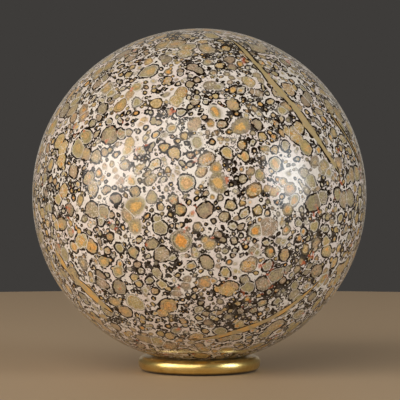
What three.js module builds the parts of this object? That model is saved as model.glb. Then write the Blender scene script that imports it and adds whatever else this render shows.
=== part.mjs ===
// A polished stone sphere that rests in a low brass ring stand.
// Millimetres, +Z up. The origin is the middle of the ring's underside, on the surface it stands on.
import * as THREE from 'three';

// Driving dimensions, in mm
const SPHERE_DIAMETER = 100;
const RING_OUTER_DIAMETER = 36.7;
const RING_BORE_DIAMETER = 24.6;
const RING_HEIGHT = 4.4;
const SEAT_RADIUS = 13.2;      // of the circle on which the sphere rests
const SEAT_DROP = 0.08;        // from the top of the ring down to that circle
const SEAT_CLEARANCE = 0.3;    // left between the two solids all round the seat

// The ring's section
const FOOT_OUTER_RADIUS = 16.2;   // the flat it stands on ends here
const CROWN_OUTER_RADIUS = 16.8;  // the flat on top ends here
const GIRTH_HEIGHT = 2.55;        // where the rounded outer face is widest
const BORE_EDGE_ROUND = 0.6;      // at both ends of the bore

// Facets
const SPHERE_FACETS_AROUND = 64;
const SPHERE_FACETS_DOWN = 38;
const RING_FACETS_AROUND = 72;
const OUTER_FACE_STEPS = 7;       // for each half of the rounded outer face
const SMALL_ROUND_STEPS = 3;

const STONE = { color: 0xa99c85, roughness: 0.12, metalness: 0 };
const BRASS = { color: 0xb8923f, roughness: 0.3, metalness: 1 };

const sphereRadius = SPHERE_DIAMETER / 2;
const seatHeight = RING_HEIGHT - SEAT_DROP;
const sphereCentreHeight = seatHeight + Math.sqrt(sphereRadius ** 2 - SEAT_RADIUS ** 2);

// Points along an elliptical arc in the section plane: x is the radius and y the height.
function arc(centreX, centreY, radiusX, radiusY, fromDegrees, toDegrees, steps) {
  const points = [];
  for (let i = 0; i <= steps; i++) {
    const angle = THREE.MathUtils.degToRad(fromDegrees + (toDegrees - fromDegrees) * (i / steps));
    points.push(new THREE.Vector2(centreX + radiusX * Math.cos(angle), centreY + radiusY * Math.sin(angle)));
  }
  return points;
}

// The ring's closed section: foot, rounded outer face, crown, the hollow seat that follows the
// sphere, and the bore with a round at each end.
function ringSection() {
  const outerRadius = RING_OUTER_DIAMETER / 2;
  const boreRadius = RING_BORE_DIAMETER / 2;
  const roundRadius = boreRadius + BORE_EDGE_ROUND;

  const seatCurve = sphereRadius + SEAT_CLEARANCE;
  const seatAngle = (radius) => THREE.MathUtils.radToDeg(Math.asin(radius / seatCurve)) - 90;
  const crownInnerRadius = Math.sqrt(seatCurve ** 2 - (sphereCentreHeight - RING_HEIGHT) ** 2);
  const seatBottom = sphereCentreHeight - Math.sqrt(seatCurve ** 2 - roundRadius ** 2);

  const section = [
    ...arc(FOOT_OUTER_RADIUS, GIRTH_HEIGHT, outerRadius - FOOT_OUTER_RADIUS, GIRTH_HEIGHT,
      -90, 0, OUTER_FACE_STEPS),
    ...arc(CROWN_OUTER_RADIUS, GIRTH_HEIGHT, outerRadius - CROWN_OUTER_RADIUS,
      RING_HEIGHT - GIRTH_HEIGHT, 0, 90, OUTER_FACE_STEPS).slice(1),
    ...arc(0, sphereCentreHeight, seatCurve, seatCurve,
      seatAngle(crownInnerRadius), seatAngle(roundRadius), SMALL_ROUND_STEPS),
    ...arc(roundRadius, seatBottom - BORE_EDGE_ROUND, BORE_EDGE_ROUND, BORE_EDGE_ROUND,
      90, 180, SMALL_ROUND_STEPS).slice(1),
    ...arc(roundRadius, BORE_EDGE_ROUND, BORE_EDGE_ROUND, BORE_EDGE_ROUND,
      180, 270, SMALL_ROUND_STEPS),
  ];
  return [...section, section[0].clone()];
}

function ringStand() {
  const geometry = new THREE.LatheGeometry(ringSection(), RING_FACETS_AROUND);
  const mesh = new THREE.Mesh(geometry, new THREE.MeshStandardMaterial(BRASS));
  mesh.name = 'brass_ring';
  mesh.rotation.x = Math.PI / 2;
  return mesh;
}

function stoneSphere() {
  const geometry = new THREE.SphereGeometry(sphereRadius, SPHERE_FACETS_AROUND, SPHERE_FACETS_DOWN);
  const mesh = new THREE.Mesh(geometry, new THREE.MeshStandardMaterial(STONE));
  mesh.name = 'stone_sphere';
  mesh.rotation.x = Math.PI / 2;
  mesh.position.z = sphereCentreHeight;
  return mesh;
}

const sphereOnStand = new THREE.Group();
sphereOnStand.add(ringStand(), stoneSphere());

export default sphereOnStand;
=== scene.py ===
"""A polished sphere of orbicular jasper on a low brass ring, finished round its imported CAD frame.

Metres, +Z up, the front towards -Y. The stone's markings are worked out in millimetres from its centre:
orbs scattered over the surface, small beads between them, and veins along planes through the stone. The
ring is a turned section carried round a circle.
"""
import math
from collections import namedtuple

import bpy
import numpy as np
from bpy.props import FloatProperty, FloatVectorProperty, IntProperty, PointerProperty
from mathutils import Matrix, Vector


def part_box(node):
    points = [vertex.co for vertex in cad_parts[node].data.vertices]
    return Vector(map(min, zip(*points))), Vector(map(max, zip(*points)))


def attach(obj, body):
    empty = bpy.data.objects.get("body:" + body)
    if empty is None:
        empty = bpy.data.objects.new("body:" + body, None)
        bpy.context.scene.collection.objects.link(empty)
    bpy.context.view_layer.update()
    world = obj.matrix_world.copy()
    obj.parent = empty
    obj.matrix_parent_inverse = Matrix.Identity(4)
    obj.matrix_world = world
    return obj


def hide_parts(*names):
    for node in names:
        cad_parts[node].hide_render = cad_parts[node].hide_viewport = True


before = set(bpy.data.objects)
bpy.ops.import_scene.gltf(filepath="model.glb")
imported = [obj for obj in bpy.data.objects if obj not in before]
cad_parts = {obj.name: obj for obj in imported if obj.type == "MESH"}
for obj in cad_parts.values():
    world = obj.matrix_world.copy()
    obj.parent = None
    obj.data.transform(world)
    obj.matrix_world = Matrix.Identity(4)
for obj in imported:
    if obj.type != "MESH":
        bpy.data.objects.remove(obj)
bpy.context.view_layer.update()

bl_info = {
    "name": "Jasper sphere on a brass ring",
    "version": (1, 0, 0),
    "blender": (4, 5, 0),
    "location": "View3D > Sidebar > Sphere",
    "description": "Builds a polished orbicular jasper sphere, its brass ring stand and a plain studio",
    "category": "Object",
}

MM = 0.001
BODY = "root"

WARM_LIGHT = (1.0, 0.96, 0.9)
COOL_LIGHT = (0.88, 0.955, 1.0)

# The side lights: name, azimuth, elevation, share of the power, width over height, and tint. Each is
# three lights on one another, of these shares of the size and of the power, so its middle is brighter.
SIDE_BOXES = (
    ("left", -63.5, 12.5, 0.94, 1.0, WARM_LIGHT),
    ("right", 61.0, 10.5, 1.16, 0.87, COOL_LIGHT),
)
BOX_LAYERS = ((1.0, 0.52), (0.8, 0.32), (0.55, 0.16))
LAYER_GAP = 0.003
KEY_PLACE = (-28, 25, 1.2)
REAR_PLACE = (180, 20, 1.2)
REAR_SIZE = 1.2
FLOOR_CORNERS = 180
FLOOR_ROUGHNESS = 0.6

SPHERE_LOW, SPHERE_HIGH = (Vector(corner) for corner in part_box("stone_sphere"))
RING_HIGH = Vector(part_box("brass_ring")[1])
SPHERE_CENTRE = (SPHERE_LOW + SPHERE_HIGH) / 2
SPHERE_RADIUS = (SPHERE_HIGH.x - SPHERE_LOW.x) / 2
RADIUS_MM = SPHERE_RADIUS / MM


def srgb(red, green, blue):
    """A display colour, 0 to 255 a channel, as the linear colour that Blender works in."""
    shares = np.array([red, green, blue]) / 255
    linear = np.where(shares <= 0.04045, shares / 12.92, ((shares + 0.055) / 1.055) ** 2.4)
    return tuple(float(share) for share in linear)


def colour_property(name, description, default):
    return FloatVectorProperty(
        name=name, description=description, subtype="COLOR", min=0.0, max=1.0, default=srgb(*default)
    )


# ---------------------------------------------------------------- settings


class StageSettings(bpy.types.PropertyGroup):
    """The studio: camera, floor, soft boxes and surroundings."""

    camera_distance: FloatProperty(
        name="Camera distance", description="From the sphere's centre", default=0.5, unit="LENGTH"
    )
    sphere_share: FloatProperty(
        name="Sphere's share", description="Of the picture's width", default=0.8355, subtype="FACTOR"
    )
    aim_right: FloatProperty(
        name="Aim to the right", description="Of the sphere's centre", default=0.00021, unit="LENGTH"
    )
    aim_down: FloatProperty(
        name="Aim down", description="Below the sphere's centre", default=0.00135, unit="LENGTH"
    )
    floor_radius: FloatProperty(
        name="Floor radius", description="Of the round table top", default=0.42, unit="LENGTH"
    )
    floor_colour: colour_property("Floor", "Pale table top", (192, 166, 134))
    surround_colour: colour_property("Surroundings", "Soft light from all round", (98, 89, 76))
    backdrop_colour: colour_property("Backdrop", "What is seen behind the object", (62, 60, 58))
    box_distance: FloatProperty(
        name="Soft box distance", description="From the sphere's centre", default=0.9, unit="LENGTH"
    )
    box_size: FloatProperty(
        name="Soft box size", description="Across each side light", default=0.66, unit="LENGTH"
    )
    box_power: FloatProperty(
        name="Soft box power", description="Of a side light, before its own share", default=3.2, unit="POWER"
    )
    key_size: FloatProperty(
        name="Key light size", description="Across the broad light at the upper left", default=1.45,
        unit="LENGTH",
    )
    key_power: FloatProperty(
        name="Key light power", description="Of the broad light at the upper left", default=9.3, unit="POWER"
    )
    rear_power: FloatProperty(
        name="Rear light power", description="Of the light behind the sphere", default=0.6, unit="POWER"
    )


class StoneSettings(bpy.types.PropertyGroup):
    """The sphere's mesh and its markings. Orb sizes are in millimetres of stone."""

    steps: IntProperty(name="Steps", description="Mesh squares from the middle to an edge", default=150)
    undulation: FloatProperty(
        name="Undulation", description="Height of the waves that hand lapping leaves", default=0.00002,
        unit="LENGTH",
    )
    polish: FloatProperty(name="Polish", description="Roughness of the surface", default=0.11)
    refraction: FloatProperty(name="Refraction", description="Refractive index of the stone", default=1.54)
    seed: IntProperty(name="Seed", description="Sets where the orbs fall", default=11)
    orbs: IntProperty(name="Orbs", description="How many are scattered over the sphere", default=6500)
    smallest: FloatProperty(name="Smallest", description="Orb radius in mm", default=0.5)
    largest: FloatProperty(name="Largest", description="Orb radius in mm", default=3.2)
    steepness: FloatProperty(name="Steepness", description="How much commoner small orbs are", default=1.6)
    twins: FloatProperty(name="Twins", description="Share of orbs grown into another", default=0.35)
    gap: FloatProperty(name="Gap", description="Least room between orbs, mm", default=0.1)
    bend: FloatProperty(name="Bend", description="How far orbs are pulled out of round, mm", default=0.32)
    bend_length: FloatProperty(name="Bend length", description="Of one wave, mm", default=11.0)
    wobble: FloatProperty(name="Wobble", description="How uneven the outlines are, mm", default=1.3)
    ground: colour_property("Ground", "Pale stone between the orbs", (243, 234, 224))
    ground_blush: colour_property("Blush", "Pinker clouds in the ground", (241, 226, 218))
    khaki: colour_property("Khaki", "Filling of the common orbs", (178, 160, 127))
    ochre: colour_property("Ochre", "Filling of the yellow orbs", (201, 171, 117))
    grey: colour_property("Grey", "Filling of the dull orbs", (157, 141, 118))
    dull: colour_property("Dull", "Filling of the grey beads", (142, 128, 108))
    moss: colour_property("Moss", "Greener tinge of some orbs", (172, 160, 110))
    clay: colour_property("Clay", "Redder tinge of others", (190, 157, 131))
    core: colour_property("Core", "Warm heart of an orb", (224, 176, 104))
    amber: colour_property("Amber", "Small spots in the warm orbs", (232, 162, 82))
    rim: colour_property("Rim", "Dark line round an orb", (24, 12, 2))
    coral: colour_property("Coral", "Rare red specks beside the orbs", (212, 112, 72))


class RingSettings(bpy.types.PropertyGroup):
    """The ring's section and finish."""

    bore_radius: FloatProperty(
        name="Bore radius", description="Of the hole through the ring", default=0.0123, unit="LENGTH"
    )
    foot_radius: FloatProperty(
        name="Foot radius", description="Where the flat foot ends", default=0.0162, unit="LENGTH"
    )
    crown_radius: FloatProperty(
        name="Crown radius", description="Where the flat top ends", default=0.0168, unit="LENGTH"
    )
    girth_height: FloatProperty(
        name="Girth height", description="Where the outer face is widest", default=0.00255, unit="LENGTH"
    )
    edge_round: FloatProperty(
        name="Edge round", description="At both ends of the bore", default=0.0006, unit="LENGTH"
    )
    seat_gap: FloatProperty(
        name="Seat gap", description="Between the sphere and its seat", default=0.00002, unit="LENGTH"
    )
    steps_around: IntProperty(name="Steps around", description="Mesh squares round the ring", default=256)
    brass: colour_property("Brass", "Clean metal", (240, 213, 134))
    tarnish: colour_property("Tarnish", "Duller patches of the metal", (216, 182, 100))
    # Painted shade: the foot colour darkens the ring's lowest part, standing in for its contact shadow and
    # the dark reflection under it.
    foot: colour_property("Foot", "Dark patina at the foot", (62, 36, 10))
    polish: FloatProperty(name="Polish", description="Roughness of the metal", default=0.29)
    lacquer: FloatProperty(name="Lacquer", description="Strength of the clear coat", default=0.6)
    lacquer_roughness: FloatProperty(
        name="Lacquer roughness", description="Roughness of the clear coat", default=0.2
    )


# ---------------------------------------------------------------- markings

# The marked orbs on the front: right of and above the sphere's centre and radius, in millimetres, then
# warmth (0 grey, 0.5 khaki, 1 ochre), heart (how orange the middle is) and rim (how dark the outline is).
MARKED_ORBS = (
    (-12.0, 8.5, 1.9, 0.80, 0.6, 1.0),
    (-17.5, -3.0, 3.0, 0.45, 0.9, 0.1),
    (-19.5, -5.5, 2.2, 0.30, 0.3, 0.1),
    (-17.5, -8.5, 2.4, 0.55, 0.5, 0.1),
    (-12.0, 25.5, 2.1, 0.80, 0.0, 0.9),
    (-22.0, 25.0, 2.0, 0.85, 0.3, 0.6),
    (4.5, 23.0, 2.2, 0.05, 0.9, 0.0),
    (11.5, 19.0, 2.6, 0.30, 0.9, 0.3),
    (-7.5, 18.5, 1.8, 0.50, 0.4, 0.7),
    (-1.5, 19.5, 1.9, 0.45, 0.0, 0.3),
    (-0.5, 14.5, 1.9, 0.20, 0.0, 0.0),
    (-19.5, 12.5, 1.8, 0.90, 0.4, 0.3),
    (-19.0, 14.5, 1.7, 0.85, 0.2, 0.3),
    (2.0, 10.0, 2.3, 0.60, 0.4, 0.8),
    (7.5, 11.5, 2.3, 0.80, 0.2, 1.0),
    (4.5, 7.5, 1.6, 0.55, 0.7, 0.3),
    (0.5, 6.5, 1.7, 0.60, 0.2, 0.6),
    (-3.5, 3.5, 2.8, 0.65, 0.5, 1.0),
    (5.0, 3.5, 2.8, 0.20, 0.8, 0.1),
    (-18.5, 4.0, 1.5, 0.75, 0.7, 0.0),
    (-17.5, 1.0, 1.9, 0.45, 0.2, 1.0),
    (-13.0, -0.5, 2.0, 0.35, 0.2, 0.6),
    (-5.0, -4.0, 1.9, 0.55, 0.3, 1.0),
    (-7.0, -1.0, 1.6, 0.50, 0.0, 0.9),
    (1.5, -4.0, 2.5, 0.15, 0.0, 1.0),
    (-5.0, -12.5, 3.2, 0.25, 1.0, 0.4),
    (15.0, 1.5, 2.3, 0.85, 0.7, 0.8),
    (19.0, -8.5, 2.6, 0.05, 0.0, 0.0),
    (15.5, -9.5, 1.9, 0.15, 1.0, 0.1),
    (24.0, -9.5, 1.5, 0.45, 0.9, 0.6),
    (32.0, -8.5, 2.1, 0.75, 0.0, 0.9),
    (19.5, -15.5, 1.8, 0.55, 0.9, 0.9),
    (23.5, -16.5, 2.0, 0.60, 0.2, 1.0),
    (29.5, -15.0, 1.6, 0.80, 0.3, 0.7),
    (2.0, -18.0, 2.3, 0.40, 0.0, 1.0),
    (13.5, -19.0, 2.4, 0.60, 0.8, 0.6),
    (24.5, 6.0, 1.0, 0.20, 0.0, 0.1),
)

# Places on the front where the orbs differ: right, up, reach and crowding, which runs from -1, where
# few and small ones grow, to 1, where dark beads crowd together.
MARKED_PLACES = (
    # The first two places lie under the two highlights of the side lights: their bare pale ground is partly
    # the stone's own open ground and partly painted highlight.
    (-25.0, 6.0, 5.0, -0.85),
    (24.0, 8.0, 7.0, -1.0),
    (13.0, -3.5, 4.0, -1.0),
    (-6.0, 9.0, 3.0, -0.8),
    (-16.0, 19.0, 3.5, -0.7),
    (-3.0, -7.5, 3.0, -0.8),
    # The crowded places low on the front, here and at (30, -14), (22, -24) and (-24, -32), are partly the
    # stone's dark clusters and partly painted shade that darkens the sphere's lower part.
    (12.0, -31.0, 8.0, 1.0),
    (0.0, -26.0, 5.0, 0.7),
    (-11.0, -21.0, 4.0, 0.6),
    (17.0, 25.0, 4.5, 0.9),
    (22.0, 20.0, 4.0, 0.8),
    (6.0, 36.0, 5.0, 0.6),
    (9.0, 4.0, 3.0, 0.5),
    (30.0, -14.0, 6.0, 0.6),
    (22.0, -24.0, 6.0, 0.7),
    (-31.0, 14.0, 4.0, 0.6),
    (36.0, 0.0, 5.0, 0.5),
    (-20.0, -1.0, 5.0, -0.6),
    (-32.0, -4.0, 6.0, -0.4),
    (-12.0, 30.0, 6.0, -0.5),
    (3.0, 1.0, 4.0, -0.4),
    (-8.0, 14.0, 4.0, -0.5),
    (-43.0, 4.0, 6.0, 0.5),
    (-24.0, -32.0, 6.0, 0.4),
)

# Places of chance that are more or less crowded, all round the stone: how many, and the ranges of their
# reach in millimetres and of their crowding. Nowhere is crowding below BAREST.
CHANCE_PLACES = 90
CHANCE_REACH = (3, 8)
CHANCE_CROWDING = (-0.8, 1.0)
BAREST = -0.76

# The largest orb that may grow, in millimetres, at these steps of crowding; None stands for any size.
ROOM_STEPS = (-0.85, -0.35, 0.3, 0.9)
ROOM_SIZES = (0.0, None, None, 1.5)

TRIES = 60                      # places that are drawn for each orb
FREE_TRIES = 8                  # of the free ones, how many are looked at
TWIN_OVERLAP = (0.62, 0.85)     # range of twins' distance over the sum of their radii
WARMEST = 0.88                  # warmth of the warmest scattered orbs

# Each row is the slant of one wave, and each axis of a bent place takes two rows.
BEND_SLANTS = np.array([
    (0, 1, 0.4), (0.5, -0.3, 1),
    (1, 0, -0.5), (-0.4, 0.8, 0.7),
    (0.8, 0.6, 0), (-0.7, 1, 0.2),
])
BEND_PHASE = 1.7

LAPPING_AXES = np.array([(5, 3, -4), (-3, 6, 2), (2, -5, 5), (6, 1, 5), (-4, 4, 6)], dtype=float)

# The layers of beads, smallest first: spacing, least and greatest radius, share of cells with a bead, the
# pattern's shift, and the width of the rims.
BEAD_LAYERS = (
    (0.8, 0.12, 0.34, 0.4, (4.4, 9.1, 0.3), 0.24),
    (1.25, 0.28, 0.6, 0.45, (1.7, 3.3, 7.7), 0.33),
    (1.9, 0.45, 0.9, 0.55, (7.9, 2.2, 5.5), 0.4),
)
ORB_RIM_WIDTH = 0.57

ORB_NAMES = ("near_orb", "next_orb")

# What the material reads of an orb that is kept for a face: its middle, its look (radius, warmth, heart)
# and rim, and how far a place is from its middle, how large it is there, and how deep the place is in it.
KeptOrb = namedtuple("KeptOrb", "centre look rim distance radius depth")
KEPT_KINDS = KeptOrb("VECTOR", "RGBA", "FLOAT", "FLOAT", "FLOAT", "FLOAT")

# A vein lies along a plane, given by its normal and its offset from the centre. It is widest at its
# middle, a place on the surface. Directions are azimuth and elevation in degrees, and lengths are in
# millimetres. Warmth runs from 0, olive, to 1, golden.
Vein = namedtuple("Vein", "normal offset middle half_length half_width warmth")

VEINS = (
    Vein((96, 37), 33.0, (36, 35), 30.0, 1.0, 0.45),
    Vein((21, 25), 0.0, (-57, -22), 4.8, 1.5, 1.0),
    Vein((19, 30), 0.0, (-48, -34), 8.6, 1.5, 0.9),
    Vein((-9, 23), 10.5, (31, -46), 22.0, 1.05, 0.95),
    Vein((97, 36), 42.0, (66, 20), 15.0, 0.4, 0.6),
    Vein((200, -30), 20.0, (190, 10), 40.0, 1.2, 0.5),
)


def towards(azimuth, elevation):
    """The unit direction at an azimuth, 0 in front and 90 at the right, and an elevation, in degrees."""
    turn, rise = math.radians(azimuth), math.radians(elevation)
    return Vector((math.sin(turn) * math.cos(rise), -math.cos(turn) * math.cos(rise), math.sin(rise)))


def on_front(right, up):
    """The unit direction of a place that is so far right of and above the middle, seen from the front."""
    return np.array([right, -math.sqrt(RADIUS_MM**2 - right**2 - up**2), up]) / RADIUS_MM


def bend(places, stone):
    """Places moved by smooth waves, so that round orbs come out oval.

    Along each axis, a place moves by two sines of how far it lies along two slanted directions.
    """
    phases = np.arange(len(BEND_SLANTS)) * BEND_PHASE
    waves = places @ BEND_SLANTS.T * (2 * math.pi / stone.bend_length) + phases
    return places + stone.bend * np.sin(waves).reshape(*places.shape, 2).sum(axis=-1)


def crowding(ways, stone):
    """How crowded the stone is in each direction.

    The sum of bell curves at the marked places and at those of chance, held at BAREST from below.
    """
    draw = np.random.default_rng(stone.seed + 1)
    others = random_ways(draw, CHANCE_PLACES)
    marked = np.array([on_front(right, up) for right, up, *_ in MARKED_PLACES])
    reach, amount = np.array([place[2:] for place in MARKED_PLACES]).T
    middles = np.vstack([marked, others])
    reach = np.concatenate([reach, draw.uniform(*CHANCE_REACH, CHANCE_PLACES)])
    amount = np.concatenate([amount, draw.uniform(*CHANCE_CROWDING, CHANCE_PLACES)])
    apart = 2 - 2 * ways @ middles.T
    total = (amount * np.exp(-apart * (RADIUS_MM / reach) ** 2)).sum(axis=1)
    return np.maximum(total, BAREST)


def random_ways(draw, count):
    """Unit directions, evenly spread by chance."""
    ways = draw.normal(size=(count, 3))
    return ways / np.linalg.norm(ways, axis=1, keepdims=True)


def scatter_orbs(stone):
    """Centres in millimetres and looks (radius, warmth, heart, rim) of all the orbs.

    The marked orbs come first. The rest have radii whose power -steepness is drawn evenly, so that small
    ones are common, and go down from the largest. Each takes the first of its random places that is free
    and where the crowding leaves room for its size, or is left out. A twin's places are all against some
    orb that is there already: it grows into that one and takes its look.
    """
    draw = np.random.default_rng(stone.seed)
    marked = len(MARKED_ORBS)
    ways = np.zeros((marked + stone.orbs, 3))
    looks = np.zeros((marked + stone.orbs, 4))
    ways[:marked] = [on_front(right, up) for right, up, *_ in MARKED_ORBS]
    looks[:marked] = [look for _, _, *look in MARKED_ORBS]

    bounds = stone.largest**-stone.steepness, stone.smallest**-stone.steepness
    sizes = np.sort(draw.uniform(*bounds, stone.orbs) ** (-1 / stone.steepness))[::-1]
    each = np.arange(TRIES)
    room_sizes = [stone.largest if room is None else room for room in ROOM_SIZES]
    count = marked
    for size in sizes:
        trial = random_ways(draw, TRIES)
        twin, warmth, heart, rim = draw.uniform(size=4)
        twin = twin < stone.twins
        host = draw.integers(marked, count, TRIES) if twin and count > marked + TRIES else None
        if host is not None:
            aside = trial - (trial * ways[host]).sum(axis=1, keepdims=True) * ways[host]
            aside /= np.linalg.norm(aside, axis=1, keepdims=True)
            turn = (size + looks[host, 0, None]) * draw.uniform(*TWIN_OVERLAP, (TRIES, 1)) / RADIUS_MM
            trial = ways[host] * np.cos(turn) + aside * np.sin(turn)
        bound = 1 - ((looks[:count, 0] + size + stone.gap) / RADIUS_MM) ** 2 / 2
        clear = trial @ ways[:count].T < bound
        if host is not None:
            clear[each, host] = True
        free = np.flatnonzero(clear.all(axis=1))[:FREE_TRIES]
        crowd = crowding(trial[free], stone)
        room = np.interp(crowd, ROOM_STEPS, room_sizes)
        free, crowd = free[size < room], crowd[size < room]
        if len(free) == 0:
            continue
        best = free[0]
        ways[count] = trial[best]
        heart = max(0.0, 3.0 * heart - 2.1) if warmth > 0.1 else 0.0
        looks[count] = size, WARMEST * warmth, heart, np.clip(0.2 + 1.9 * rim + 0.6 * crowd[0], 0, 1)
        if host is not None:
            looks[count, 1:] = looks[host[best], 1:]
        count += 1
    return ways[:count] * RADIUS_MM, looks[:count]


def two_deepest(places, centres, reaches):
    """For each place, the numbers of the two orbs that it is deepest in, or least far outside.

    Places are sorted into cubes and taken in runs, and only the orbs near a run's bounding box are looked at.
    """
    run, cube = 400, 8
    margin = reaches.max() + 1.5
    order = np.lexsort(np.floor(places / cube).T)
    chosen = np.empty((2, len(places)), int)
    for start in range(0, len(places), run):
        rows = order[start:start + run]
        part = places[rows]
        low, high = part.min(axis=0) - margin, part.max(axis=0) + margin
        near = np.flatnonzero(((centres > low) & (centres < high)).all(axis=1))
        depth = reaches[near] - np.linalg.norm(part[:, None] - centres[near], axis=2)
        for ranked in chosen:
            best = depth.argmax(axis=1)
            ranked[rows] = near[best]
            depth[np.arange(len(part)), best] = -np.inf
    return chosen


def mark_sphere(mesh, stone):
    """Keeps with the sphere's mesh what its material needs: bent places, and two orbs to each face."""
    places = np.empty(len(mesh.vertices) * 3, np.float32)
    mesh.vertices.foreach_get("co", places)
    places = (places.reshape(-1, 3).astype(float) - np.array(SPHERE_CENTRE)) / MM
    bent = bend(places, stone)
    corners = np.empty(len(mesh.polygons) * 3, np.int32)
    mesh.polygons.foreach_get("vertices", corners)
    middles = bent[corners.reshape(-1, 3)].mean(axis=1)
    centres, looks = scatter_orbs(stone)
    centres = bend(centres, stone)
    mesh.attributes.new("bent_place", "FLOAT_VECTOR", "POINT").data.foreach_set(
        "vector", bent.astype(np.float32).ravel())
    mesh.attributes.new("crowding", "FLOAT", "POINT").data.foreach_set(
        "value", crowding(places * MM / SPHERE_RADIUS, stone).astype(np.float32))
    for name, chosen in zip(ORB_NAMES, two_deepest(middles, centres, looks[:, 0])):
        mesh.attributes.new(name + "_centre", "FLOAT_VECTOR", "FACE").data.foreach_set(
            "vector", centres[chosen].astype(np.float32).ravel())
        mesh.attributes.new(name + "_look", "FLOAT_COLOR", "FACE").data.foreach_set(
            "color", looks[chosen].astype(np.float32).ravel())


# ---------------------------------------------------------------- meshes


def build_piece(name, points, faces, corner_uv, material):
    """A smooth mesh object from arrays: points (n, 3), faces (m, corners) and each corner's map place."""
    mesh = bpy.data.meshes.new(name)
    count, corners = faces.shape
    mesh.vertices.add(len(points))
    mesh.vertices.foreach_set("co", points.astype(np.float32).ravel())
    mesh.loops.add(count * corners)
    mesh.loops.foreach_set("vertex_index", faces.astype(np.int32).ravel())
    mesh.polygons.add(count)
    mesh.polygons.foreach_set("loop_start", np.arange(count, dtype=np.int32) * corners)
    mesh.polygons.foreach_set("use_smooth", np.ones(count, dtype=bool))
    mesh.update(calc_edges=True)
    layer = mesh.uv_layers.new(name="OFBake")
    layer.uv.foreach_set("vector", corner_uv.astype(np.float32).ravel())
    mesh.validate()
    mesh.materials.append(material)
    piece = bpy.data.objects.new(name, mesh)
    bpy.context.scene.collection.objects.link(piece)
    return piece


def folded_directions(across, up):
    """Directions on a sphere for the places of a square sheet, each from -1 to 1, that is folded round it.

    The middle of the sheet is the front, its corners meet at the back. |across| and |up| are the shares
    of a place towards the side and the pole, and 1 - |across| - |up| its share towards the front. Where
    that is negative the place is past the fold, and the two shares become 1 - |up| and 1 - |across|. A
    direction is the three shares' sines over a quarter turn, brought to length 1.
    """
    front = 1 - np.abs(across) - np.abs(up)
    past = front < 0
    side = np.where(past, (1 - np.abs(up)) * np.sign(across), across)
    pole = np.where(past, (1 - np.abs(across)) * np.sign(up), up)
    shares = np.stack([side, -front, pole], axis=-1)
    directions = np.sin(shares * math.pi / 2)
    return directions / np.linalg.norm(directions, axis=-1, keepdims=True)


def lapping_waves(directions):
    """Height of the shallow waves that lapping leaves, about -1 to 1: the mean of sines along set axes."""
    return np.sin(directions @ LAPPING_AXES.T * 2 + np.arange(len(LAPPING_AXES))).mean(axis=-1)


def sphere_mesh(stone):
    """Points, triangles and map places of the sphere: folded_directions on an even grid of the sheet."""
    steps = stone.steps
    side = 2 * steps + 1
    places = np.arange(side) - steps
    column, row = np.meshgrid(places, places)
    directions = folded_directions(column / steps, row / steps)
    height = stone.undulation * lapping_waves(directions)
    points = np.array(SPHERE_CENTRE) + directions * (SPHERE_RADIUS - stone.undulation + height)[..., None]

    # Places on the sheet's edge meet their mirror image in the edge's middle, and the corners are one.
    on_side, on_end = np.abs(column) == steps, np.abs(row) == steps
    home_column = np.where(on_end, np.abs(column), column)
    home_row = np.where(on_side, np.abs(row), row)
    number = (home_row + steps) * side + home_column + steps
    number[on_side & on_end] = number[-1, -1]

    low_left, low_right = number[:-1, :-1], number[:-1, 1:]
    top_left, top_right = number[1:, :-1], number[1:, 1:]
    rising = (column[:-1, :-1] + 0.5) * (row[:-1, :-1] + 0.5) < 0
    first = np.where(
        rising[..., None],
        np.stack([low_left, low_right, top_right], -1),
        np.stack([low_left, low_right, top_left], -1),
    )
    second = np.where(
        rising[..., None],
        np.stack([low_left, top_right, top_left], -1),
        np.stack([low_right, top_right, top_left], -1),
    )
    sheet = np.stack([column, row], -1).reshape(-1, 2)
    grid = np.arange(side * side).reshape(side, side)
    corners = [grid[:-1, :-1], grid[:-1, 1:], grid[1:, :-1], grid[1:, 1:]]
    first_grid = np.where(
        rising[..., None], np.stack(corners[:2] + corners[3:], -1), np.stack(corners[:3], -1)
    )
    second_grid = np.where(
        rising[..., None],
        np.stack([corners[0], corners[3], corners[2]], -1),
        np.stack([corners[1], corners[3], corners[2]], -1),
    )
    faces = np.concatenate([first.reshape(-1, 3), second.reshape(-1, 3)])
    on_grid = np.concatenate([first_grid.reshape(-1, 3), second_grid.reshape(-1, 3)])
    used, faces = np.unique(faces, return_inverse=True)
    margin = 0.003
    corner_uv = margin + (1 - 2 * margin) * (sheet[on_grid.ravel()] / steps + 1) / 2
    return points.reshape(-1, 3)[used], faces.reshape(-1, 3), corner_uv


def arc(centre, radii, start, stop, steps):
    """Places (radius, height) along an elliptical arc, at even angles in degrees."""
    angles = np.radians(np.linspace(start, stop, steps + 1))
    return np.stack([centre[0] + radii[0] * np.cos(angles), centre[1] + radii[1] * np.sin(angles)], -1)


def ring_section(ring):
    """The ring's closed section, anticlockwise: foot, rounded outer face, crown, seat, bore."""
    outer, top = RING_HIGH.x, RING_HIGH.z
    bore_round = ring.bore_radius + ring.edge_round
    seat_curve = SPHERE_RADIUS + ring.seat_gap
    centre_height = SPHERE_CENTRE.z
    crown_inner = math.sqrt(seat_curve**2 - (centre_height - top) ** 2)
    seat_low = centre_height - math.sqrt(seat_curve**2 - bore_round**2)
    seat_angles = [math.degrees(math.asin(r / seat_curve)) - 90 for r in (crown_inner, bore_round)]
    girth, round_radii = ring.girth_height, (ring.edge_round, ring.edge_round)
    stretches = [
        arc((ring.foot_radius, girth), (outer - ring.foot_radius, girth), -90, 0, 20),
        arc((ring.crown_radius, girth), (outer - ring.crown_radius, top - girth), 0, 90, 20)[1:],
        arc((0, centre_height), (seat_curve, seat_curve), *seat_angles, 4),
        arc((bore_round, seat_low - ring.edge_round), round_radii, 90, 180, 8)[1:],
        arc((bore_round, ring.edge_round), round_radii, 180, 270, 8),
    ]
    return np.concatenate(stretches)


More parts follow.
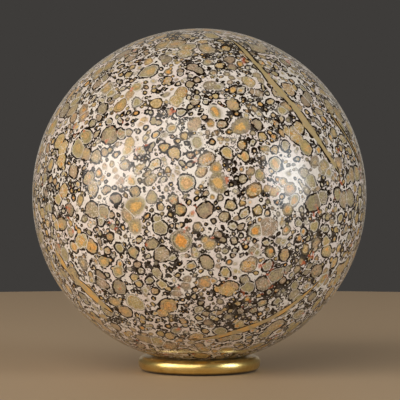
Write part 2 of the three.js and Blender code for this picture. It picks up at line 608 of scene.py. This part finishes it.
def ring_mesh(ring):
    """Points, quads and map places of the ring: its section carried round the vertical axis."""
    section = ring_section(ring)
    around, along = ring.steps_around, len(section)
    turn = np.arange(around)[:, None] * 2 * math.pi / around
    radius, height = section[:, 0], section[:, 1]
    points = np.stack(
        [radius * np.cos(turn), radius * np.sin(turn), np.broadcast_to(height, (around, along))], -1
    )
    i, j = np.meshgrid(np.arange(around), np.arange(along), indexing="ij")
    next_i, next_j = (i + 1) % around, (j + 1) % along
    faces = np.stack(
        [i * along + j, next_i * along + j, next_i * along + next_j, i * along + next_j], -1
    ).reshape(-1, 4)

    closed = np.vstack([section, section[:1]])
    length = np.concatenate([[0], np.cumsum(np.linalg.norm(np.diff(closed, axis=0), axis=1))])
    share = length / length[-1]
    left, right = i / around, (i + 1) / around
    low, high = share[j], share[j + 1]
    corner_uv = np.stack([left, low, right, low, right, high, left, high], -1).reshape(-1, 2)
    return points.reshape(-1, 3), faces, corner_uv


# ---------------------------------------------------------------- node helpers


class Graph:
    """Adds nodes to one tree. An input is given a number, a vector, a colour or another node's socket."""

    def __init__(self, tree):
        self.tree = tree

    def feed(self, socket, value):
        if isinstance(value, bpy.types.NodeSocket):
            self.tree.links.new(value, socket)
        elif socket.type == "RGBA" and len(value) == 3:
            socket.default_value = (*value, 1.0)
        else:
            socket.default_value = value

    def node(self, kind, inputs=None, **settings):
        made = self.tree.nodes.new(kind)
        for name, value in settings.items():
            setattr(made, name, value)
        for name, value in (inputs or {}).items():
            self.feed(made.inputs[name], value)
        return made

    def math(self, operation, *values):
        made = self.node("ShaderNodeMath", operation=operation)
        for socket, value in zip(made.inputs, values):
            self.feed(socket, value)
        return made.outputs["Value"]

    def vector(self, operation, *values):
        made = self.node("ShaderNodeVectorMath", operation=operation)
        vectors = [socket for socket in made.inputs if socket.name == "Vector"]
        for socket, value in zip(vectors, values):
            self.feed(socket, value)
        return made.outputs["Value" if operation in ("DOT_PRODUCT", "LENGTH") else "Vector"]

    def scaled(self, vector, factor):
        made = self.node("ShaderNodeVectorMath", {"Scale": factor}, operation="SCALE")
        self.feed(made.inputs[0], vector)
        return made.outputs["Vector"]

    def mix(self, factor, first, second, kind="RGBA"):
        made = self.node("ShaderNodeMix", data_type=kind)
        start = {"FLOAT": 2, "VECTOR": 4, "RGBA": 6}[kind]
        self.feed(made.inputs[0], factor)
        self.feed(made.inputs[start], first)
        self.feed(made.inputs[start + 1], second)
        return made.outputs[{"FLOAT": 0, "VECTOR": 1, "RGBA": 2}[kind]]

    def ease(self, value, low, high, start=0.0, end=1.0):
        """start below low, end above high, and a smooth step between."""
        places = {"Value": value, "From Min": low, "From Max": high, "To Min": start, "To Max": end}
        return self.node("ShaderNodeMapRange", places, interpolation_type="SMOOTHSTEP").outputs["Result"]

    def noise(self, place, scale, detail=2.0, roughness=0.5, output="Fac"):
        values = {"Vector": place, "Scale": scale, "Detail": detail, "Roughness": roughness}
        return self.node("ShaderNodeTexNoise", values).outputs[output]

    def channels(self, colour):
        return self.node("ShaderNodeSeparateColor", {"Color": colour}).outputs


def group_tree(name, inputs, outputs):
    """An empty node group with named sockets, given as name: type, or name: (type, default)."""
    tree = bpy.data.node_groups.new(name, "ShaderNodeTree")
    for label, kind in inputs.items():
        kind, default = kind if isinstance(kind, tuple) else (kind, None)
        socket = tree.interface.new_socket(label, in_out="INPUT", socket_type=f"NodeSocket{kind}")
        if default is not None:
            socket.default_value = default
    for label, kind in outputs.items():
        tree.interface.new_socket(label, in_out="OUTPUT", socket_type=f"NodeSocket{kind}")
    graph = Graph(tree)
    return tree, graph, graph.node("NodeGroupInput").outputs, graph.node("NodeGroupOutput")


def new_material(name):
    """A material, its graph and its Principled shader."""
    material = bpy.data.materials.new(name)
    material.use_nodes = True
    graph = Graph(material.node_tree)
    return material, graph, material.node_tree.nodes["Principled BSDF"]


# ---------------------------------------------------------------- stone


def orb_paint_group():
    """The colour of an orb, from how deep a place is in it and its look.

    Depth is in millimetres, and Ratio is the distance from the centre over the radius. Chance is one
    colour for the whole orb, drawn by chance: its channels choose the pale grains, the tinge, the gold of
    the heart, the inner line, the flecks and the cracks. Warmth runs from grey through khaki to ochre,
    Heart is the strength of the orange middle, and Rim how dark the outline is.
    """
    tree, graph, given, result = group_tree(
        "Orb paint",
        {
            "Place": "Vector", "Depth": "Float", "Ratio": "Float", "Chance": "Color", "Warmth": "Float",
            "Heart": "Float", "Rim": "Float", "Rim width": ("Float", 0.4), "Grey": "Color",
            "Khaki": "Color", "Ochre": "Color", "Core": "Color", "Amber": "Color", "Moss": "Color",
            "Clay": "Color", "Dark": "Color", "Ground": "Color",
        },
        {"Color": "Color"},
    )
    chance = graph.channels(given["Chance"])
    blotch = graph.math("SUBTRACT", graph.noise(given["Place"], 0.45, 3.0, 0.6), 0.5)
    grain = graph.noise(given["Place"], 2.2, 3.0, 0.7)

    # Filling: grey at the edge and warmer inside, blotched, with pale grains in some orbs.
    inward = graph.math("MULTIPLY", graph.ease(given["Ratio"], 0.95, 0.3), 0.3)
    warmth = graph.math("ADD", given["Warmth"], graph.math("MULTIPLY", blotch, 0.7))
    warmth = graph.math("ADD", warmth, graph.math("SUBTRACT", inward, 0.15))
    warmth = graph.math("ADD", warmth, graph.math("MULTIPLY", graph.math("SUBTRACT", grain, 0.5), 0.6))
    filling = graph.mix(graph.ease(warmth, 0.16, 0.38), given["Grey"], given["Khaki"])
    filling = graph.mix(graph.ease(warmth, 0.55, 0.76), filling, given["Ochre"])
    pale = graph.math("MULTIPLY", graph.ease(grain, 0.5, 0.72), graph.ease(chance["Red"], 0.5, 0.9))
    filling = graph.mix(graph.math("MULTIPLY", pale, 0.75), filling, given["Ground"])

    # Tinge: some orbs, and clouds in others, lean to green or to clay.
    tinge = graph.math("MULTIPLY", graph.math("SUBTRACT", chance["Green"], 0.5), 0.3)
    tinge = graph.math("ADD", graph.noise(given["Place"], 0.5, 3.0, 0.6), tinge)
    filling = graph.mix(graph.ease(tinge, 0.53, 0.64, 0.0, 0.6), filling, given["Moss"])
    filling = graph.mix(graph.ease(tinge, 0.43, 0.33, 0.0, 0.55), filling, given["Clay"])

    # Heart: golden to amber, uneven and off the middle. Amber spots lie anywhere in a warm orb.
    heart = graph.math("ADD", given["Ratio"], graph.math("MULTIPLY", blotch, 1.6))
    heart = graph.math("MULTIPLY", graph.ease(heart, 0.54, 0.28), given["Heart"])
    gold = graph.mix(graph.ease(chance["Blue"], 0.4, 0.8), given["Core"], given["Amber"])
    filling = graph.mix(heart, filling, gold)
    spot = graph.ease(graph.noise(given["Place"], 0.6, 2.0, 0.5), 0.61, 0.68)
    spot = graph.math("MULTIPLY", spot, graph.ease(warmth, 0.35, 0.7, 0.0, 0.85))
    filling = graph.mix(spot, filling, given["Amber"])

    # Inner line round the middle of some orbs, and dark grains in others.
    ring = graph.math("SUBTRACT", given["Ratio"], graph.ease(chance["Red"], 0, 1, 0.45, 0.75))
    uneven = graph.math("MULTIPLY", graph.math("ABSOLUTE", blotch), 0.5)
    ring = graph.ease(graph.math("ADD", graph.math("ABSOLUTE", ring), uneven), 0.08, 0.03)
    ring = graph.math("MULTIPLY", ring, graph.ease(chance["Blue"], 0.5, 0.8, 0.0, 0.55))
    fleck = graph.ease(graph.noise(given["Place"], 1.7, 1.0, 0.5), 0.34, 0.28)
    fleck = graph.math("MULTIPLY", fleck, graph.ease(chance["Green"], 0.4, 0.1, 0.0, 0.8))
    filling = graph.mix(graph.math("MAXIMUM", ring, fleck), filling, given["Dark"])

    # Faint bands round the middle, and a fine grain of light and dark.
    bands = graph.math("MULTIPLY", given["Ratio"], graph.ease(chance["Blue"], 0, 1, 6, 16))
    bands = graph.math("MULTIPLY", graph.math("SINE", bands), 0.08)
    light = graph.math("ADD", graph.ease(grain, 0.3, 0.7, 0.74, 1.18), bands)
    filling = graph.scaled(filling, light)

    # Cracks: fine white lines in a few orbs, where a noise crosses its middle value.
    level = graph.math("SUBTRACT", graph.noise(given["Place"], 0.9, 2.0, 0.6), 0.5)
    crack = graph.ease(graph.math("ABSOLUTE", level), 0.02, 0.006)
    crack = graph.math("MULTIPLY", crack, graph.ease(chance["Red"], 0.35, 0.15, 0.0, 0.85))
    filling = graph.mix(crack, filling, given["Ground"])

    # Rim: its width differs along the orb, it is broken, and a pale line may run inside it.
    along = graph.noise(given["Place"], 0.6, 2.0, 0.6)
    width = graph.math("MULTIPLY", given["Rim width"], graph.ease(along, 0.3, 0.7, 0.5, 1.5))
    width = graph.math("MULTIPLY", width, graph.ease(given["Rim"], 0.0, 1.0, 0.5, 1.1))
    lining = graph.ease(given["Depth"], graph.math("ADD", width, 0.28), graph.math("ADD", width, 0.1))
    lining = graph.math("MULTIPLY", lining, graph.ease(chance["Green"], 0.5, 0.9, 0.0, 0.5))
    filling = graph.mix(lining, filling, given["Ground"])
    line = graph.ease(given["Depth"], width, graph.math("MULTIPLY", width, 0.6))
    line = graph.math("MULTIPLY", line, graph.ease(along, 0.3, 0.4, 0.35, 1.0))
    line = graph.math("MULTIPLY", line, given["Rim"])
    graph.feed(result.inputs["Color"], graph.mix(line, filling, given["Dark"]))
    return tree


class StonePainter:
    """Builds the stone's nodes in layers, all in millimetres: ground, beads, orbs, red stains and veins.

    Wobble makes outlines uneven. Knots are the places where dark matter gathers between the orbs.
    """

    def __init__(self, graph, stone):
        self.graph = graph
        self.stone = stone
        self.place = graph.node(
            "ShaderNodeMapping",
            {
                "Vector": graph.node("ShaderNodeTexCoord").outputs["Object"],
                "Location": tuple(-SPHERE_CENTRE / MM),
                "Scale": (1 / MM,) * 3,
            },
        ).outputs["Vector"]
        self.paint = orb_paint_group()
        self.crowding = self.attribute("crowding")["Fac"]
        broad = graph.noise(self.place, 0.38, 1.0, 0.5)
        knots = graph.math("ADD", broad, graph.noise(self.place, 1.3, 2.0, 0.6))
        knots = graph.math("ADD", knots, graph.math("MULTIPLY", self.crowding, 0.19))
        self.knots = graph.ease(knots, 1.08, 1.13)
        coarse = graph.math("SUBTRACT", graph.noise(self.place, 0.28, 2.0, 0.5), 0.5)
        fine = graph.math("SUBTRACT", graph.noise(self.place, 1.1, 1.0, 0.5), 0.5)
        coarse = graph.math("MULTIPLY", coarse, stone.wobble)
        fine = graph.math("MULTIPLY", fine, stone.wobble / 2)
        self.wobble = graph.math("ADD", coarse, fine)

    def attribute(self, name):
        return self.graph.node("ShaderNodeAttribute", attribute_name=name).outputs

    def coloured(self, values):
        """The colour of one orb painting node, fed with the stone's colours and the given values."""
        stone = self.stone
        inputs = {
            "Place": self.place, "Grey": stone.grey, "Khaki": stone.khaki, "Ochre": stone.ochre,
            "Core": stone.core, "Amber": stone.amber, "Moss": stone.moss, "Clay": stone.clay,
            "Dark": stone.rim, "Ground": stone.ground,
        }
        node = self.graph.node("ShaderNodeGroup", {**inputs, **values}, node_tree=self.paint)
        return node.outputs["Color"]

    def read_orbs(self):
        """The deeper of the two orbs kept for a face, and how far a place is inside each."""
        graph = self.graph
        bent = self.attribute("bent_place")["Vector"]
        orbs = []
        for name in ORB_NAMES:
            centre = self.attribute(name + "_centre")["Vector"]
            look = self.attribute(name + "_look")
            parts = graph.channels(look["Color"])
            distance = graph.vector("LENGTH", graph.vector("SUBTRACT", bent, centre))
            radius = graph.math("ADD", parts["Red"], self.wobble)
            depth = graph.math("SUBTRACT", radius, distance)
            orbs.append(KeptOrb(centre, look["Color"], look["Alpha"], distance, radius, depth))
        near, far = orbs
        self.orbs = orbs
        swap = graph.math("GREATER_THAN", far.depth, near.depth)
        chosen = KeptOrb(*(graph.mix(swap, *values) for values in zip(near, far, KEPT_KINDS)))
        self.other_depth = graph.math("MINIMUM", near.depth, far.depth)
        pair = graph.vector("ADD", near.centre, far.centre)
        self.pair_chance = graph.channels(
            graph.node("ShaderNodeTexWhiteNoise", {"Vector": pair}).outputs["Color"]
        )
        return chosen

    def ground(self):
        """Pale stone with pink clouds, and fine dark specks in patches."""
        graph, place = self.graph, self.place
        cloud = graph.noise(place, 0.11, 3.0, 0.5)
        colour = graph.mix(graph.ease(cloud, 0.35, 0.65), self.stone.ground, self.stone.ground_blush)
        speck = graph.noise(place, 5.0, 1.0, 0.5)
        patch = graph.ease(graph.noise(place, 0.35, 2.0, 0.5), 0.45, 0.62)
        specks = graph.math("MULTIPLY", graph.ease(speck, 0.36, 0.28), patch)
        colour = graph.mix(specks, colour, self.stone.khaki)
        colour = graph.mix(graph.math("MULTIPLY", self.knots, 0.95), colour, self.stone.rim)
        return graph.scaled(colour, graph.ease(graph.noise(place, 1.2, 3.0, 0.7), 0.3, 0.6, 0.86, 1.0))

    def beads(self, below, spacing, smallest, largest, share, shift, rim_width):
        """Small orbs, one to a cell of a Voronoi pattern, held clear of the orbs kept for the face.

        A cell has one where its chance is below the share, which grows with the crowding and in clusters.
        """
        graph = self.graph
        cell = graph.vector("ADD", graph.scaled(self.place, 1 / spacing), shift)
        voronoi = graph.node("ShaderNodeTexVoronoi", {"Vector": cell, "Scale": 1.0, "Randomness": 0.9})
        centre = graph.scaled(graph.vector("SUBTRACT", voronoi.outputs["Position"], shift), spacing)
        chance = graph.channels(voronoi.outputs["Color"])
        radius = graph.mix(graph.math("POWER", chance["Red"], 1.5), smallest, largest, "FLOAT")
        wanted = graph.math("ADD", share, graph.math("MULTIPLY", self.crowding, 0.9))
        cluster = graph.math("SUBTRACT", graph.noise(centre, 0.3, 1.0, 0.5), 0.5)
        wanted = graph.math("ADD", wanted, graph.math("MULTIPLY", cluster, 1.9))
        missing = graph.math("GREATER_THAN", chance["Green"], wanted)
        radius = graph.math("SUBTRACT", radius, graph.math("MULTIPLY", missing, 100.0))
        for orb in self.orbs:
            apart = graph.vector("LENGTH", graph.vector("SUBTRACT", centre, orb.centre))
            gap = graph.math("SUBTRACT", apart, orb.radius)
            radius = graph.math("MINIMUM", radius, graph.math("ADD", gap, 0.12))
        distance = graph.math("MULTIPLY", voronoi.outputs["Distance"], spacing)
        radius = graph.math("ADD", radius, graph.math("MULTIPLY", self.wobble, 0.35))
        depth = graph.math("SUBTRACT", radius, distance)
        painted = self.coloured({
            "Depth": depth,
            "Ratio": graph.math("DIVIDE", distance, graph.math("MAXIMUM", radius, 0.05)),
            "Chance": voronoi.outputs["Color"],
            "Warmth": graph.math("MULTIPLY", chance["Blue"], 0.5),
            "Heart": graph.ease(chance["Red"], 0.86, 0.94),
            "Grey": self.stone.dull,
            "Rim": graph.ease(chance["Blue"], 0.95, 0.6, 0.6, 1.0),
            "Rim width": graph.mix(self.knots, rim_width, 2 * rim_width, "FLOAT"),
        })
        return graph.mix(graph.ease(depth, -0.06, 0.06), below, painted)

    def lay_orbs(self, below, chosen):
        """The scattered orbs over the ground, with a thin seam where two have grown together."""
        graph = self.graph
        parts = graph.channels(chosen.look)
        colour = self.coloured({
            "Depth": chosen.depth,
            "Ratio": graph.math("DIVIDE", chosen.distance, graph.math("MAXIMUM", chosen.radius, 0.1)),
            "Chance": graph.node("ShaderNodeTexWhiteNoise", {"Vector": chosen.centre}).outputs["Color"],
            "Warmth": parts["Green"],
            "Heart": parts["Blue"],
            "Rim": chosen.rim,
            "Rim width": ORB_RIM_WIDTH,
        })
        between = graph.math("SUBTRACT", chosen.depth, self.other_depth)
        seam = graph.math("MULTIPLY", graph.ease(between, 0.25, 0.1), graph.ease(self.other_depth, -0.1, 0.1))
        seam = graph.math("MULTIPLY", seam, graph.ease(self.pair_chance["Red"], 0.4, 0.6, 0.0, 0.8))
        colour = graph.mix(seam, colour, self.stone.ground)
        soft = graph.ease(chosen.rim, 0.1, 0.5, 0.4, 0.05)
        cover = graph.ease(chosen.depth, graph.math("MULTIPLY", soft, -1.0), soft)
        return graph.mix(cover, below, colour)

    def coral_specks(self, below):
        """Rare, small red stains, where a fine noise is high inside the high places of a broad one."""
        graph = self.graph
        region = graph.ease(graph.noise(self.place, 0.14, 1.0, 0.5), 0.58, 0.66)
        fleck = graph.ease(graph.noise(self.place, 0.45, 3.0, 0.6), 0.58, 0.68)
        stain = graph.math("MULTIPLY", graph.math("MULTIPLY", region, fleck), 0.7)
        return graph.mix(stain, below, self.stone.coral)

    def vein(self, below, vein):
        """A seam of ochre along a plane through the stone, widest at its middle, with dark edges."""
        graph = self.graph
        normal = tuple(towards(*vein.normal))
        middle = tuple(towards(*vein.middle) * SPHERE_RADIUS / MM)
        across = graph.math("SUBTRACT", graph.vector("DOT_PRODUCT", self.place, normal), vein.offset)
        sway = graph.noise(self.place, 0.07, 1.0, 0.5)
        across = graph.math("ADD", across, graph.math("MULTIPLY", graph.math("SUBTRACT", sway, 0.5), 1.6))
        along = graph.vector("LENGTH", graph.vector("SUBTRACT", self.place, middle))
        share = graph.math("DIVIDE", along, vein.half_length)
        fullness = graph.math("SUBTRACT", 1.0, graph.math("POWER", share, 2.5))
        swell = graph.ease(graph.noise(self.place, 0.12, 1.0, 0.5), 0.3, 0.7, 0.75, 1.25)
        half = graph.math("MULTIPLY", graph.math("MULTIPLY", fullness, swell), vein.half_width)
        depth = graph.math("SUBTRACT", half, graph.math("ABSOLUTE", across))
        streak = graph.node(
            "ShaderNodeCombineXYZ",
            {"X": graph.math("MULTIPLY", across, 3.0), "Y": graph.math("MULTIPLY", along, 0.25)},
        ).outputs["Vector"]
        streaks = graph.noise(streak, 1.0, 3.0, 0.6)
        blush = graph.noise(self.place, 0.3, 2.0, 0.5)
        colour = graph.mix(graph.ease(streaks, 0.35, 0.65), self.stone.ochre, self.stone.khaki)
        tinge = graph.ease(graph.noise(self.place, 0.2, 2.0, 0.5), 0.4, 0.6, 0.0, 0.6 * (1 - vein.warmth))
        colour = graph.mix(tinge, colour, self.stone.moss)
        golden = graph.ease(blush, 0.75 - 0.35 * vein.warmth, 0.9 - 0.35 * vein.warmth)
        colour = graph.mix(golden, colour, self.stone.core)
        broken = graph.ease(graph.noise(self.place, 0.3, 2.0, 0.6), 0.42, 0.52)
        edge = graph.ease(depth, 0.3, 0.12)
        outer = graph.ease(depth, -0.35, -0.15)
        line = graph.math("MULTIPLY", edge, graph.math("MULTIPLY", outer, broken))
        line = graph.math("MULTIPLY", line, graph.ease(half, 0.0, 0.3))
        colour = graph.mix(graph.ease(depth, -0.05, 0.08), below, colour)
        return graph.mix(line, colour, self.stone.rim)


def stone_material(stone):
    """Polished orbicular jasper: orbs, beads, a few red stains and ochre veins in a pale ground."""
    material, graph, shader = new_material("polished_jasper")
    painter = StonePainter(graph, stone)
    chosen = painter.read_orbs()
    colour = painter.ground()
    for layer in BEAD_LAYERS:
        colour = painter.beads(colour, *layer)
    colour = painter.lay_orbs(colour, chosen)
    colour = painter.coral_specks(colour)
    for vein in VEINS:
        colour = painter.vein(colour, vein)
    graph.feed(shader.inputs["Base Color"], colour)
    shader.inputs["Roughness"].default_value = stone.polish
    shader.inputs["IOR"].default_value = stone.refraction
    return material


def brass_material(ring):
    """Satin brass with the faint rings of turning, a little tarnish, painted shade darkening the foot and a
    clear lacquer.
    """
    material, graph, shader = new_material("satin_brass")
    place = graph.scaled(graph.node("ShaderNodeTexCoord").outputs["Object"], 1 / MM)
    parts = graph.node("ShaderNodeSeparateXYZ", {"Vector": place}).outputs
    flat = graph.node("ShaderNodeCombineXYZ", {"X": parts["X"], "Y": parts["Y"]}).outputs["Vector"]
    section = graph.node(
        "ShaderNodeCombineXYZ", {"X": graph.vector("LENGTH", flat), "Y": parts["Z"]}
    ).outputs["Vector"]
    turning = graph.noise(section, 9.0, 3.0, 0.7)
    tarnish = graph.noise(place, 0.25, 4.0, 0.6)
    colour = graph.mix(graph.ease(tarnish, 0.35, 0.75), ring.brass, ring.tarnish)
    # Painted shade: below 1.15 mm the metal darkens to the foot colour, for the shadow and dark reflection
    # where the ring meets the table.
    colour = graph.mix(graph.ease(parts["Z"], 1.15, 0.4), colour, ring.foot)
    graph.feed(shader.inputs["Base Color"], colour)
    shader.inputs["Metallic"].default_value = 1.0
    shader.inputs["Coat Weight"].default_value = ring.lacquer
    shader.inputs["Coat Roughness"].default_value = ring.lacquer_roughness
    rough = graph.math("MULTIPLY", graph.math("SUBTRACT", turning, 0.5), 0.12)
    rough = graph.math("ADD", ring.polish, rough)
    graph.feed(shader.inputs["Roughness"], rough)
    bump = graph.node("ShaderNodeBump", {"Strength": 0.25, "Distance": 0.02 * MM, "Height": turning})
    graph.feed(shader.inputs["Normal"], bump.outputs["Normal"])
    return material


# ---------------------------------------------------------------- operators


def from_sphere(azimuth, elevation, distance):
    """A place seen from the sphere's centre: azimuth 0 is the front, 90 the right."""
    return SPHERE_CENTRE + towards(azimuth, elevation) * distance


def aim(thing, target):
    """Turns a camera or a light so that it looks at a place."""
    thing.rotation_euler = (target - thing.location).to_track_quat("-Z", "Y").to_euler()


def add_light(name, place, width, height, power, colour):
    """An oval area light that faces the sphere's centre."""
    data = bpy.data.lights.new(name, "AREA")
    data.shape = "ELLIPSE"
    data.color = colour
    data.size, data.size_y = width, height
    data.energy = power
    light = bpy.data.objects.new(name, data)
    bpy.context.scene.collection.objects.link(light)
    light.location = place
    aim(light, SPHERE_CENTRE)


def plain_material(name, colour, roughness):
    """The table top's even, dull finish."""
    material, graph, shader = new_material(name)
    graph.feed(shader.inputs["Base Color"], tuple(colour))
    shader.inputs["Roughness"].default_value = roughness
    return material


class SPHERE_OT_stage(bpy.types.Operator):
    """Add the camera, the pale table top, the soft boxes and the surroundings"""

    bl_idname = "jasper_sphere.stage"
    bl_label = "Add stage"

    def execute(self, context):
        stage = context.scene.sphere_stage
        self.add_camera(context.scene, stage)
        self.add_floor(stage)
        self.add_lights(stage)
        self.set_surroundings(context.scene, stage)
        return {"FINISHED"}

    def add_camera(self, scene, stage):
        """The sphere's outline is asin(radius / distance) from its middle, which sets the lens."""
        data = bpy.data.cameras.new("camera")
        outline = math.tan(math.asin(SPHERE_RADIUS / stage.camera_distance))
        data.lens = data.sensor_width * stage.sphere_share / (2 * outline)
        data.clip_start, data.clip_end = 0.01, 20.0
        camera = bpy.data.objects.new("camera", data)
        scene.collection.objects.link(camera)
        camera.location = from_sphere(0, 0, stage.camera_distance)
        aim(camera, SPHERE_CENTRE + Vector((stage.aim_right, 0, -stage.aim_down)))
        scene.camera = camera

    def add_floor(self, stage):
        """A disc: points at even turns round the origin, filled as one face."""
        turns = np.linspace(0, 2 * math.pi, FLOOR_CORNERS + 1)[:-1]
        edge = np.stack([np.cos(turns), np.sin(turns), np.zeros(len(turns))], -1) * stage.floor_radius
        mesh = bpy.data.meshes.new("table_top")
        mesh.from_pydata(edge.tolist(), [], [list(range(len(edge)))])
        mesh.materials.append(plain_material("pale_table", stage.floor_colour, FLOOR_ROUGHNESS))
        floor = bpy.data.objects.new("table_top", mesh)
        bpy.context.scene.collection.objects.link(floor)

    def add_lights(self, stage):
        """Two soft boxes at the sides, a broad key at the upper left and a faint light from the rear."""
        for side, azimuth, elevation, share, width, tint in SIDE_BOXES:
            for step, (size_share, power_share) in enumerate(BOX_LAYERS):
                size = stage.box_size * size_share
                place = from_sphere(azimuth, elevation, stage.box_distance * (1 - LAYER_GAP * step))
                power = stage.box_power * share * power_share
                add_light(f"{side}_box_{step + 1}", place, size * width, size, power, tint)
        key, rear = from_sphere(*KEY_PLACE), from_sphere(*REAR_PLACE)
        add_light("key_light", key, stage.key_size, stage.key_size, stage.key_power, WARM_LIGHT)
        add_light("rear_light", rear, REAR_SIZE, REAR_SIZE, stage.rear_power, WARM_LIGHT)

    def set_surroundings(self, scene, stage):
        """Even soft light from all round, and a darker plain backdrop where the camera looks."""
        world = bpy.data.worlds.new("studio")
        world.use_nodes = True
        graph = Graph(world.node_tree)
        seen = graph.node("ShaderNodeLightPath").outputs["Is Camera Ray"]
        colour = graph.mix(seen, tuple(stage.surround_colour), tuple(stage.backdrop_colour))
        graph.feed(world.node_tree.nodes["Background"].inputs["Color"], colour)
        scene.world = world
        scene.view_settings.view_transform = "Standard"


class SPHERE_OT_stone(bpy.types.Operator):
    """Add the polished jasper sphere in place of its CAD solid"""

    bl_idname = "jasper_sphere.stone"
    bl_label = "Add stone sphere"

    def execute(self, context):
        stone = context.scene.sphere_stone
        piece = build_piece("jasper_sphere", *sphere_mesh(stone), stone_material(stone))
        mark_sphere(piece.data, stone)
        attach(piece, BODY)
        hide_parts("stone_sphere")
        return {"FINISHED"}


class SPHERE_OT_ring(bpy.types.Operator):
    """Add the turned brass ring in place of its CAD solid"""

    bl_idname = "jasper_sphere.ring"
    bl_label = "Add brass ring"

    def execute(self, context):
        ring = context.scene.sphere_ring
        piece = build_piece("ring_stand", *ring_mesh(ring), brass_material(ring))
        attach(piece, BODY)
        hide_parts("brass_ring")
        return {"FINISHED"}


class SPHERE_PT_panel(bpy.types.Panel):
    """Lists the settings and the steps that build the sphere on its ring"""

    bl_idname = "SPHERE_PT_panel"
    bl_label = "Jasper sphere"
    bl_space_type = "VIEW_3D"
    bl_region_type = "UI"
    bl_category = "Sphere"

    def draw(self, context):
        for settings, operator in (
            (context.scene.sphere_stage, SPHERE_OT_stage),
            (context.scene.sphere_stone, SPHERE_OT_stone),
            (context.scene.sphere_ring, SPHERE_OT_ring),
        ):
            box = self.layout.box()
            for name in settings.__annotations__:
                box.prop(settings, name)
            box.operator(operator.bl_idname)


CLASSES = (
    StageSettings, StoneSettings, RingSettings, SPHERE_OT_stage, SPHERE_OT_stone, SPHERE_OT_ring,
    SPHERE_PT_panel,
)


def register():
    for cls in CLASSES:
        bpy.utils.register_class(cls)
    bpy.types.Scene.sphere_stage = PointerProperty(type=StageSettings)
    bpy.types.Scene.sphere_stone = PointerProperty(type=StoneSettings)
    bpy.types.Scene.sphere_ring = PointerProperty(type=RingSettings)


def unregister():
    del bpy.types.Scene.sphere_ring, bpy.types.Scene.sphere_stone, bpy.types.Scene.sphere_stage
    for cls in reversed(CLASSES):
        bpy.utils.unregister_class(cls)


def main():
    register()
    bpy.ops.jasper_sphere.stage()
    bpy.ops.jasper_sphere.stone()
    bpy.ops.jasper_sphere.ring()


if __name__ == "__main__":
    main()
